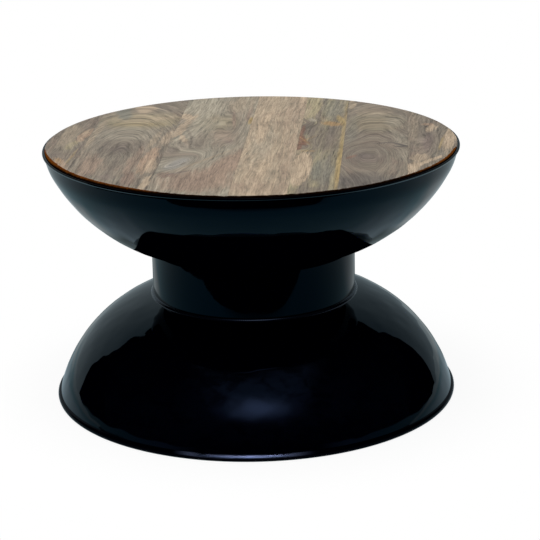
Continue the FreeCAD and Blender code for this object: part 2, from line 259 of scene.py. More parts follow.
def turn_rings(name, profile, steps):
    """Draw a circle out along a section of (radius, height) points; leaves the last ring selected."""
    deselect_everything()
    radius, height = profile[0]
    bpy.ops.mesh.primitive_circle_add(vertices=steps, radius=radius, location=(0, 0, 0))
    piece = bpy.context.object
    piece.name = name
    piece.data.name = name
    bpy.ops.object.mode_set(mode="EDIT")
    bpy.ops.mesh.select_all(action="SELECT")
    bpy.ops.transform.translate(value=(0, 0, height))
    for next_radius, next_height in profile[1:]:
        step = {"value": (0, 0, next_height - height)}
        bpy.ops.mesh.extrude_region_move(TRANSFORM_OT_translate=step)
        share = next_radius / radius
        bpy.ops.transform.resize(value=(share, share, 1), center_override=(0, 0, next_height))
        radius, height = next_radius, next_height
    return piece


def make_consistent(piece):
    """Point the faces of a closed piece outwards, and those of an open one the same way."""
    edit(piece)
    bpy.ops.mesh.normals_make_consistent(inside=False)
    bpy.ops.object.mode_set(mode="OBJECT")


def close_section(piece):
    """Join the last ring of a closed section to the first."""
    edit(piece)
    bpy.ops.mesh.remove_doubles(threshold=SAME_PLACE)
    make_consistent(piece)


def face_outwards(piece, axis_height):
    """Turn an open wall's faces away from a point on the axis."""
    make_consistent(piece)
    middle = Vector((0, 0, axis_height))
    away = sum((face.center - middle).dot(face.normal) * face.area for face in piece.data.polygons)
    if away < 0:
        edit(piece)
        bpy.ops.mesh.flip_normals()
        bpy.ops.object.mode_set(mode="OBJECT")


def ease(value, start, end):
    """Rise smoothly from 0 at start to 1 at end."""
    share = min(1.0, max(0.0, (value - start) / (end - start)))
    return share * share * (3 - 2 * share)


def waver(piece, waves, weight_at):
    """Push a skin in and out by waves, each a (depth, width), as far as the weight at a place allows.

    A wave without a width pushes evenly.
    """
    group = piece.vertex_groups.new(name="waver")
    for vertex in piece.data.vertices:
        group.add([vertex.index], weight_at(vertex.co), "REPLACE")
    for depth, width in waves:
        displace = piece.modifiers.new("Waver", "DISPLACE")
        displace.direction = "NORMAL"
        displace.mid_level = 0.5
        displace.strength = depth
        displace.vertex_group = "waver"
        if width:
            clouds = bpy.data.textures.new(piece.name + "_waves", type="CLOUDS")
            clouds.noise_scale = width
            clouds.noise_depth = 1
            displace.texture = clouds
            displace.texture_coords = "LOCAL"
    apply_modifiers(piece)
    piece.vertex_groups.clear()


def thicken(piece, thickness):
    """Give an open wall its sheet thickness, inwards from its outer face."""
    solidify = piece.modifiers.new("Sheet", "SOLIDIFY")
    solidify.thickness = thickness
    solidify.offset = -1
    solidify.use_even_offset = True
    apply_modifiers(piece)


def finish_piece(piece, material, slot, *nodes):
    """Colour a new piece, and let it stand for its nodes of the frame."""
    piece.data.materials.clear()
    piece.data.materials.append(material)
    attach(piece, "root")
    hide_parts(*nodes)


# Sections of the turned pieces

def between(start, end, share):
    return tuple(a + (b - a) * share for a, b in zip(start, end))


def softened(before, corner, after, steps):
    """Points of a soft turn from one point to another past a corner."""
    points = []
    for step in range(steps + 1):
        share = step / steps
        points.append(tuple(
            (1 - share) ** 2 * a + 2 * share * (1 - share) * b + share ** 2 * c
            for a, b, c in zip(before, corner, after)))
    return points


def spaced(start, end, steps):
    """Points from one to another, without the last."""
    return [between(start, end, step / steps) for step in range(steps)]


def dish_section(arc, arc_end, wall, wall_height, mouth, direction, hole_radius, turn):
    """Outer face of a dish, from its hole along the arc and the straight wall to the mouth."""
    mouth_radius, mouth_z = mouth
    corner_radius = mouth_radius - wall_height / math.tan(wall)
    flat_radius = corner_radius - arc * math.sin(arc_end)
    height = arc - arc * math.cos(arc_end) + wall_height
    flat_z = mouth_z - direction * height

    def on_arc(slope):
        return (flat_radius + arc * math.sin(slope), flat_z + direction * arc * (1 - math.cos(slope)))

    arc_steps, corner_steps, wall_steps = 44, 8, 4
    start = math.asin((hole_radius - flat_radius) / arc)
    stop = arc_end - turn / 2 / arc
    points = [on_arc(start + (stop - start) * step / arc_steps) for step in range(arc_steps)]
    wall_length = wall_height / math.sin(wall)
    corner = on_arc(arc_end)
    after = between(corner, mouth, turn / 2 / wall_length)
    points += softened(on_arc(stop), corner, after, corner_steps)[:-1]
    points += spaced(after, mouth, wall_steps)
    points.append(mouth)
    return points


def height_at(section, radius):
    """Height at which a section that widens steadily has this radius."""
    for (r0, z0), (r1, z1) in zip(section, section[1:]):
        if r0 <= radius <= r1:
            return z0 + (z1 - z0) * (radius - r0) / (r1 - r0)
    raise ValueError("the section never has that radius")


def upper_section(iron):
    mouth = (LIP_RADIUS, UPPER_DISH_BOX[1].z - iron.lip_height)
    return dish_section(
        iron.upper_arc, iron.upper_arc_end, iron.upper_wall, iron.upper_wall_height, mouth, 1,
        iron.hole_radius, iron.upper_corner_turn)


def lower_section(iron):
    mouth = (RING_BOX[1].x - iron.bar_overhang, RING_BOX[1].z - iron.bar_radius)
    return dish_section(
        iron.lower_arc, iron.lower_arc_end, iron.lower_wall, iron.lower_wall_height, mouth, -1,
        iron.hole_radius, iron.corner_turn)


# Nodes

FLAT = (1.0, 1.0, 0.0)


class Bench:
    """Adds nodes to one tree. A value is a socket, a number, a colour or a tuple."""

    def __init__(self, tree):
        self.tree = tree

    def put(self, socket, value):
        if isinstance(value, bpy.types.NodeSocket):
            self.tree.links.new(value, socket)
        elif socket.type == "RGBA":
            socket.default_value = (*value[:3], 1.0)
        else:
            socket.default_value = value

    def fill(self, node, values):
        for key, value in values.items():
            self.put(node.inputs[key], value)
        return node

    def node(self, kind, values=None, **settings):
        node = self.tree.nodes.new(kind)
        for name, value in settings.items():
            setattr(node, name, value)
        return self.fill(node, values or {})

    def group(self, tree, values):
        return self.node("ShaderNodeGroup", values, node_tree=tree).outputs

    def math(self, operation, *values):
        return self.node("ShaderNodeMath", dict(enumerate(values)), operation=operation).outputs[0]

    def times(self, first, *others):
        for other in others:
            first = self.math("MULTIPLY", first, other)
        return first

    def times_plus(self, first, second, third):
        return self.math("MULTIPLY_ADD", first, second, third)

    def plus(self, first, second):
        return self.math("ADD", first, second)

    def minus(self, first, second):
        return self.math("SUBTRACT", first, second)

    def over(self, first, second):
        return self.math("DIVIDE", first, second)

    def unsigned(self, value):
        return self.math("ABSOLUTE", value)

    def centred(self, pattern):
        """A pattern of 0 to 1 as one of -0.5 to 0.5."""
        return self.minus(pattern, 0.5)

    def bell(self, square):
        """1 where a squared distance is 0, falling off smoothly."""
        return self.math("EXPONENT", self.times(square, -1.0))

    def vector(self, operation, *values, answer="Vector"):
        node = self.node("ShaderNodeVectorMath", dict(enumerate(values)), operation=operation)
        return node.outputs[answer]

    def dot(self, first, second):
        return self.vector("DOT_PRODUCT", first, second, answer="Value")

    def length(self, vector):
        return self.vector("LENGTH", vector, answer="Value")

    def stretch(self, vector, across, along, deep=1.0):
        """A place divided by the size of a pattern in each direction."""
        return self.vector("DIVIDE", vector, (across, along, deep))

    def parts(self, vector):
        return self.node("ShaderNodeSeparateXYZ", {"Vector": vector}).outputs

    def join(self, x=0.0, y=0.0, z=0.0):
        return self.node("ShaderNodeCombineXYZ", {"X": x, "Y": y, "Z": z}).outputs[0]

    def grey(self, share):
        return self.node("ShaderNodeCombineColor", {"Red": share, "Green": share, "Blue": share}).outputs[0]

    def noise(self, vector, detail=2.0, roughness=0.5, scale=1.0):
        return self.node("ShaderNodeTexNoise", {
            "Vector": vector, "Scale": scale, "Detail": detail, "Roughness": roughness}).outputs["Fac"]

    def remap(self, value, low, high, new_low=0.0, new_high=1.0):
        """Pass smoothly from one new value to the other while the old one goes from low to high."""
        return self.node("ShaderNodeMapRange", dict(enumerate((value, low, high, new_low, new_high))),
                         interpolation_type="SMOOTHSTEP", clamp=True).outputs[0]

    def zone(self, *limits):
        """Mask of a zone with soft edges. A limit is (value, where it is outside, where it is inside)."""
        return self.times(*(self.remap(*limit) for limit in limits))

    def blend(self, mask, first, second, mode="MIX"):
        return self.node("ShaderNodeMix", {"Factor": mask, 6: first, 7: second},
                         data_type="RGBA", blend_type=mode).outputs[2]

    def emboss(self, shader, height, distance, strength=1.0):
        bump = self.node("ShaderNodeBump", {"Height": height, "Strength": strength, "Distance": distance})
        self.put(shader.inputs["Normal"], bump.outputs[0])


def new_group(name, vectors, values, results):
    """A shader node group with named sockets: its bench, what comes in and where the results go."""
    tree = bpy.data.node_groups.new(name, "ShaderNodeTree")
    for side, names, kind in (
            ("INPUT", vectors, "Vector"), ("INPUT", values, "Float"), ("OUTPUT", results, "Float")):
        for socket_name in filter(None, names.split(", ")):
            tree.interface.new_socket(socket_name, in_out=side, socket_type="NodeSocket" + kind)
    start = tree.nodes.new("NodeGroupInput")
    end = tree.nodes.new("NodeGroupOutput")
    return Bench(tree), start.outputs, end


def once(make):
    """Build a node group the first time it is asked for, and hand out the same one afterwards."""
    made = {}

    def fetch():
        if "tree" not in made:
            made["tree"] = make()
        return made["tree"]
    return fetch


@once
def wood_rings():
    """Distance from the tree's heart, which wanders along the plank; its contours are the growth rings."""
    bench, given, end = new_group(
        "Wood Rings", "Place", "Heart Across, Heart Depth, Heart Rise, Wander, Seed", "Field")
    seeded = bench.vector("ADD", given["Place"], bench.join(z=given["Seed"]))
    slow = bench.noise(bench.stretch(seeded, 70.0, 190.0, 10.0), detail=1.0)
    quick = bench.noise(bench.stretch(seeded, 16.0, 60.0, 10.0), detail=2.0)
    drift = bench.plus(bench.times(bench.centred(slow), 2.6), bench.times(bench.centred(quick), 0.5))
    drift = bench.times(drift, given["Wander"])
    parts = bench.parts(given["Place"])
    across = bench.plus(bench.minus(parts["X"], given["Heart Across"]), drift)
    depth = bench.times_plus(parts["Y"], given["Heart Rise"], given["Heart Depth"])
    depth = bench.math("MAXIMUM", bench.times_plus(drift, 0.6, depth), 0.0)
    square = bench.plus(bench.times(across, across), bench.times(depth, depth))
    bench.fill(end, {"Field": bench.math("SQRT", square)})
    return bench.tree


def off_centre(bench, given):
    """How far a place lies from the centre of a knot or patch, in its radii, after the patch's tilt."""
    away = bench.vector("SUBTRACT", given["Place"], given["Centre"])
    turned = bench.node(
        "ShaderNodeVectorRotate", {"Vector": away, "Angle": given["Tilt"]}, rotation_type="Z_AXIS")
    return bench.vector("DIVIDE", bench.vector("MULTIPLY", turned.outputs[0], FLAT), given["Radii"])


@once
def wood_knot():
    """Swells the growth rings round a knot."""
    bench, given, end = new_group("Wood Knot", "Place, Centre, Radii", "Field, Tilt, Push", "Field, Mask")
    away = off_centre(bench, given)
    bell = bench.bell(bench.dot(away, away))
    bench.fill(end, {"Field": bench.times_plus(bell, given["Push"], given["Field"]), "Mask": bell})
    return bench.tree


@once
def wood_patch():
    """Mask of a patch of other wood, its edge feathered along the grain."""
    bench, given, end = new_group(
        "Wood Patch", "Place, Centre, Radii", "Feather, Tilt, Ragged, Soft", "Mask")
    away = bench.length(off_centre(bench, given))
    away = bench.times_plus(bench.centred(given["Feather"]), given["Ragged"], away)
    bench.fill(end, {"Mask": bench.zone(
        (away, bench.plus(1.0, given["Soft"]), bench.minus(1.0, given["Soft"])))})
    return bench.tree


@once
def wood_figure():
    """Growth bands, lines, streaks, fibres and pores of a plank, drawn along its grain."""
    bench, given, end = new_group(
        "Wood Figure", "Place", "Field, Pitch, Follow, Lines",
        "Bands, Shade, Fibres, Pores, Feather, Warm, Cool")
    parts = bench.parts(given["Place"])
    grain = bench.node("ShaderNodeMix", {"Factor": given["Follow"], 2: parts["X"], 3: given["Field"]},
                       data_type="FLOAT").outputs[0]

    def along_grain(first, across, along, detail, roughness=0.55):
        place = bench.join(first, parts["Y"], parts["Z"])
        return bench.noise(bench.stretch(place, across, along, 12.0), detail, roughness)

    def rings(share, slow):
        ring = bench.over(given["Field"], bench.times(given["Pitch"], share))
        return bench.noise(bench.join(ring, bench.over(parts["Y"], slow)), detail=3.0, roughness=0.62)

    lines = bench.remap(rings(share=0.42, slow=160.0), 0.50, 0.64)
    streaks = along_grain(grain, across=4.5, along=110.0, detail=2.0)
    fibres = along_grain(grain, across=1.9, along=32.0, detail=3.0, roughness=0.7)
    pores = bench.remap(along_grain(grain, across=1.3, along=13.0, detail=1.0), 0.56, 0.70)
    shade = bench.times_plus(bench.centred(streaks), 0.55, 1.05)
    shade = bench.times_plus(bench.centred(fibres), 1.9, shade)
    shade = bench.minus(shade, bench.times(lines, given["Lines"]))
    fingers = along_grain(grain, across=3.2, along=48.0, detail=3.0, roughness=0.65)
    blots = along_grain(parts["X"], across=9.0, along=22.0, detail=3.0, roughness=0.65)
    hue = along_grain(grain, across=20.0, along=75.0, detail=3.0, roughness=0.6)
    bench.fill(end, {
        "Bands": bench.remap(rings(share=1.0, slow=420.0), 0.36, 0.64),
        "Shade": bench.times_plus(pores, -0.28, shade),
        "Fibres": fibres,
        "Pores": pores,
        "Feather": bench.times_plus(fingers, 0.65, bench.times(blots, 0.35)),
        "Warm": bench.remap(hue, 0.52, 0.68),
        "Cool": bench.remap(hue, 0.48, 0.32)})
    return bench.tree


@once
def rim_stain():
    """Mask of the dark stain on the rounded rim and side of the top, and how dark it is: darker lower down
    the side and towards the front. Lengths are in millimetres.
    """
    bench, given, end = new_group("Rim Stain", "Place", "Top Radius, Top Height", "Mask, Depth")
    parts = bench.parts(given["Place"])
    radius = bench.length(bench.vector("MULTIPLY", given["Place"], FLAT))
    inwards = bench.minus(given["Top Radius"], radius)
    blotches = bench.noise(bench.stretch(given["Place"], 9.0, 9.0, 6.0), detail=3.0, roughness=0.7)
    left = bench.zone((parts["X"], -60.0, -190.0), (parts["Y"], -40.0, -150.0))
    right = bench.zone((parts["X"], 190.0, 290.0), (parts["Y"], 40.0, -60.0))
    wide = bench.times_plus(left, 5.0, bench.remap(parts["Y"], -8.0, -62.0, -7.0, 1.4))
    wide = bench.times_plus(right, 2.2, wide)
    edge = bench.times_plus(bench.centred(blotches), 6.0, wide)
    dark = bench.noise(bench.stretch(given["Place"], 5.0, 5.0, 2.4), detail=3.0, roughness=0.7)
    # Darker lower down the side.
    depth = bench.times_plus(bench.centred(dark), 5.0, bench.minus(given["Top Height"], parts["Z"]))
    depth = bench.times_plus(inwards, -0.16, depth)
    # Darker towards the front.
    front = bench.zone((parts["Y"], -180.0, -300.0), (parts["X"], -150.0, -60.0))
    depth = bench.times_plus(front, 3.0, depth)
    depth = bench.times_plus(bench.zone((parts["Y"], -105.0, -190.0)), 1.1, depth)
    bench.fill(end, {
        "Mask": bench.zone((inwards, bench.plus(edge, 0.5), bench.minus(edge, 0.7))),
        "Depth": bench.remap(depth, -0.2, 2.4)})
    return bench.tree


@once
def paint_skin():
    """Orange peel, small dents, dust nibs and rubbed places of brushed gloss paint."""
    bench, given, end = new_group("Paint Skin", "Place", "", "Height, Rubbed")
    peel = bench.noise(given["Place"], scale=260.0)
    slow = bench.noise(given["Place"], scale=34.0)
    cells = bench.node("ShaderNodeTexVoronoi", {"Vector": given["Place"], "Scale": 70.0}, feature="F1")
    luck = bench.node("ShaderNodeSeparateColor", {"Color": cells.outputs["Color"]}).outputs[0]
    lucky = bench.math("GREATER_THAN", luck, 0.90)
    nib = bench.times(bench.zone((cells.outputs["Distance"], 0.11, 0.0)), lucky)
    height = bench.times_plus(peel, 0.06, bench.times(slow, 0.3))
    bench.fill(end, {
        "Height": bench.times_plus(nib, 0.6, height),
        "Rubbed": bench.remap(slow, 0.35, 0.75)})
    return bench.tree


# Materials

def linear(colour):
    """A paint chart colour as light."""
    return [share / 12.92 if share <= 0.04045 else ((share + 0.055) / 1.055) ** 2.4 for share in colour]


def new_material(name):
    """A material, the bench for its nodes and its shader."""
    material = bpy.data.materials.new(name)
    material.use_nodes = True
    return material, Bench(material.node_tree), material.node_tree.nodes["Principled BSDF"]


def object_place(bench, scale=1.0, turn=0.0):
    """Place on the object, scaled and turned about the table's axis."""
    coordinates = bench.node("ShaderNodeTexCoord").outputs["Object"]
    return bench.node("ShaderNodeMapping", {
        "Vector": coordinates, "Rotation": (0.0, 0.0, turn), "Scale": (scale, scale, scale)}).outputs[0]


def black_gloss(scene, name, tint, relief):
    """Black paint brushed over iron: its material, bench, shader, place and rubbed spots."""
    material, bench, shader = new_material(name)
    place = object_place(bench)
    skin = bench.group(paint_skin(), {"Place": place})
    bench.fill(shader, {"Base Color": linear(scene.drum_tones.paint_black), "Specular Tint": tint})
    bench.emboss(shader, skin["Height"], relief)
    return material, bench, shader, place, skin["Rubbed"]


def gloss_paint(scene):
    """Gloss of the dishes and the neck. Under the upper dish by the neck it is taken away, a painted shade.

    The painted shade ends at a radius, at the sides and, slanting, on the right. Its corners are rounded,
    because the product of three soft limits is cut where it is still low. Lengths are in metres.
    """
    tones = scene.drum_tones
    material, bench, shader, place, rubbed = black_gloss(
        scene, "gloss_over_iron", tones.paint_sheen, relief=0.0001)
    parts = bench.parts(place)
    radius = bench.length(bench.vector("MULTIPLY", place, FLAT))
    sideways = bench.unsigned(parts["X"])
    to_the_side = bench.plus(sideways, bench.times(radius, 0.3))
    slant = bench.plus(parts["X"], bench.times(radius, 0.9))
    weld_z = UPPER_WELD_BOX[0].z
    near = bench.zone(
        (radius, NECK_RADIUS + 0.152, NECK_RADIUS + 0.122),
        (to_the_side, 0.2795, 0.2495),
        (slant, 0.4378, 0.4168))
    # Painted shade: no gloss here under the upper dish by the neck, so that its reflection stays black.
    painted_shade_under_dish = bench.zone((near, 0.24, 0.36), (parts["Z"], weld_z - 0.001, weld_z + 0.001))
    # Painted shade: the neck's gloss is weakened, most on the right, to dim its reflections.
    on_neck = bench.zone((radius, NECK_RADIUS + 0.003, NECK_RADIUS + 0.001))
    worn = bench.times(on_neck, bench.remap(parts["X"], -0.1, 0.1, 0.18, 0.4))
    # Painted highlight colour: on the lower dish's front, where the soft lamp's highlight falls, the gloss
    # takes another tint.
    highlighted = bench.zone((parts["Y"], -0.17, -0.23), (parts["Z"], 0.19, 0.17), (sideways, 0.22, 0.15))
    bench.fill(shader, {
        "Specular IOR Level": bench.times(bench.minus(1.0, worn), bench.remap(painted_shade_under_dish, 0.0, 1.0, 0.175, 0.0)),
        "Specular Tint": bench.blend(highlighted, tones.paint_sheen, tones.highlight_tint),
        "Roughness": bench.remap(rubbed, 0.0, 1.0, 0.015, 0.04)})
    return material


def hoop_paint(scene):
    """Paint on the hoop. Its gloss is taken away above the middle, a painted shade, and grows towards the
    sides, a painted highlight.
    """
    material, bench, shader, place, rubbed = black_gloss(
        scene, "hoop_gloss_over_iron", scene.drum_tones.hoop_sheen, relief=0.0002)
    parts = bench.parts(place)
    middle = (HOOP_BOX[0].z + HOOP_BOX[1].z) / 2
    # Painted shade: hardly any gloss above the hoop's middle.
    below = bench.remap(parts["Z"], middle - 0.001, middle + 0.0015, 1.0, 0.04)
    # Painted highlight: the gloss grows towards the sides.
    painted_side_highlight = bench.remap(bench.unsigned(parts["X"]), 0.10, 0.28, 0.7, 1.6)
    bench.fill(shader, {
        "Specular IOR Level": bench.times(below, painted_side_highlight),
        "Roughness": bench.remap(rubbed, 0.0, 1.0, 0.08, 0.15)})
    return material


def bead_paint(scene):
    """Thick paint on the lower weld bead."""
    material, bench, shader, _, rubbed = black_gloss(
        scene, "thick_gloss_over_iron", scene.drum_tones.bead_sheen, relief=0.0002)
    bench.fill(shader, {"Roughness": bench.remap(rubbed, 0.0, 1.0, 0.06, 0.2)})
    return material


def ring_paint(scene):
    """Paint on the floor ring with a painted highlight, paler, metallic and rougher, above the middle of
    its front. Elsewhere, the lower half too, the gloss is kept faint, a painted shade.
    """
    tones = scene.drum_tones
    material, bench, shader, place, rubbed = black_gloss(
        scene, "ring_gloss_over_iron", tones.ring_sheen, relief=0.0002)
    parts = bench.parts(place)
    # Painted highlight on the front of the ring, above its middle, broken up by the paint's rubbed places.
    painted_ring_highlight = bench.zone((parts["X"], -0.14, -0.045), (parts["X"], 0.10, -0.015), (parts["Y"], 0.0, -0.1))
    painted_ring_highlight = bench.times(painted_ring_highlight, bench.remap(rubbed, 0.0, 1.0, 0.75, 1.0))
    painted_ring_highlight = bench.times(bench.math("POWER", painted_ring_highlight, 1.4), bench.zone((parts["Z"], 0.0066, 0.0084)))
    bench.fill(shader, {
        "Base Color": bench.blend(painted_ring_highlight, linear(tones.paint_black), linear(tones.ring_highlight_tone)),
        "Metallic": bench.remap(painted_ring_highlight, 0.0, 0.3),
        "Specular IOR Level": bench.remap(painted_ring_highlight, 0.0, 1.0, 0.04, 0.35),
        "Roughness": bench.remap(painted_ring_highlight, 0.0, 1.0, 0.16, 0.42)})
    return material


def find_paint(scene):
    return bpy.data.materials.get("gloss_over_iron") or gloss_paint(scene)


def plank_wood(scene, name, heart, pitch, follow, lines, dark, light, knots, patches, seed):
    """One plank's wood. A knot is (across, along, radius across, radius along, tilt, push, tone, share).

    A patch is (tone, share, across, along, radius across, radius along, tilt, ragged, soft).
    """
    tones = scene.drum_tones
    wood = scene.drum_wood
    material, bench, shader = new_material(name)
    place = object_place(bench, IN_MILLIMETRES, wood.plank_turn)

    def spot(across, along, radius_across, radius_along, tilt):
        return {"Place": place, "Centre": (across, along, 0.0), "Radii": (radius_across, radius_along, 1.0),
                "Tilt": math.radians(tilt)}

    def tinted(colour, mask, share, tone_name):
        return bench.blend(bench.times(mask, share), colour, linear(getattr(tones, tone_name)))

    across, depth, rise, wander = heart
    field = bench.group(wood_rings(), {
        "Place": place, "Heart Across": across, "Heart Depth": depth, "Heart Rise": rise, "Wander": wander,
        "Seed": seed})["Field"]
    masks = []
    for *shape, push, tone_name, share in knots:
        knot = bench.group(wood_knot(), {"Field": field, "Push": push, **spot(*shape)})
        field = knot["Field"]
        masks.append((knot["Mask"], share, tone_name))
    figure = bench.group(wood_figure(), {
        "Field": field, "Place": place, "Pitch": pitch, "Follow": follow, "Lines": lines})
    colour = bench.blend(figure["Bands"], linear(getattr(tones, dark)), linear(getattr(tones, light)))
    for mask, share, tone_name in [(figure["Warm"], 0.45, "umber"), (figure["Cool"], 0.3, "moss")] + masks:
        colour = tinted(colour, mask, share, tone_name)
    for tone_name, share, *shape, ragged, soft in patches:
        patch = bench.group(wood_patch(), {
            "Feather": figure["Feather"], "Ragged": ragged, "Soft": soft, **spot(*shape)})
        colour = tinted(colour, patch["Mask"], share, tone_name)
    # Painted sheen: the top is made paler towards its far side, where the light glances off it.
    painted_sheen_far_away = bench.remap(bench.parts(place)["Y"], 120.0, 250.0, 1.0, 1.12)
    shade = bench.grey(bench.times(figure["Shade"], painted_sheen_far_away))
    colour = bench.blend(1.0, colour, shade, "MULTIPLY")
    stain = bench.group(rim_stain(), {
        "Place": place, "Top Radius": TOP_BOX[1].y * IN_MILLIMETRES, "Top Height": TOP_Z * IN_MILLIMETRES})
    rim = bench.blend(stain["Depth"], linear(tones.rim_light), linear(tones.rim_dark))
    bench.fill(shader, {
        "Base Color": bench.blend(stain["Mask"], colour, rim),
        "Specular IOR Level": bench.remap(stain["Mask"], 0.0, 1.0, 0.32, 0.0),
        "Roughness": bench.remap(figure["Fibres"], 0.3, 0.7, 0.52, 0.42)})
    relief = bench.times_plus(figure["Pores"], -0.8, figure["Fibres"])
    bench.emboss(shader, relief, wood.grain_relief, strength=0.5)
    return material


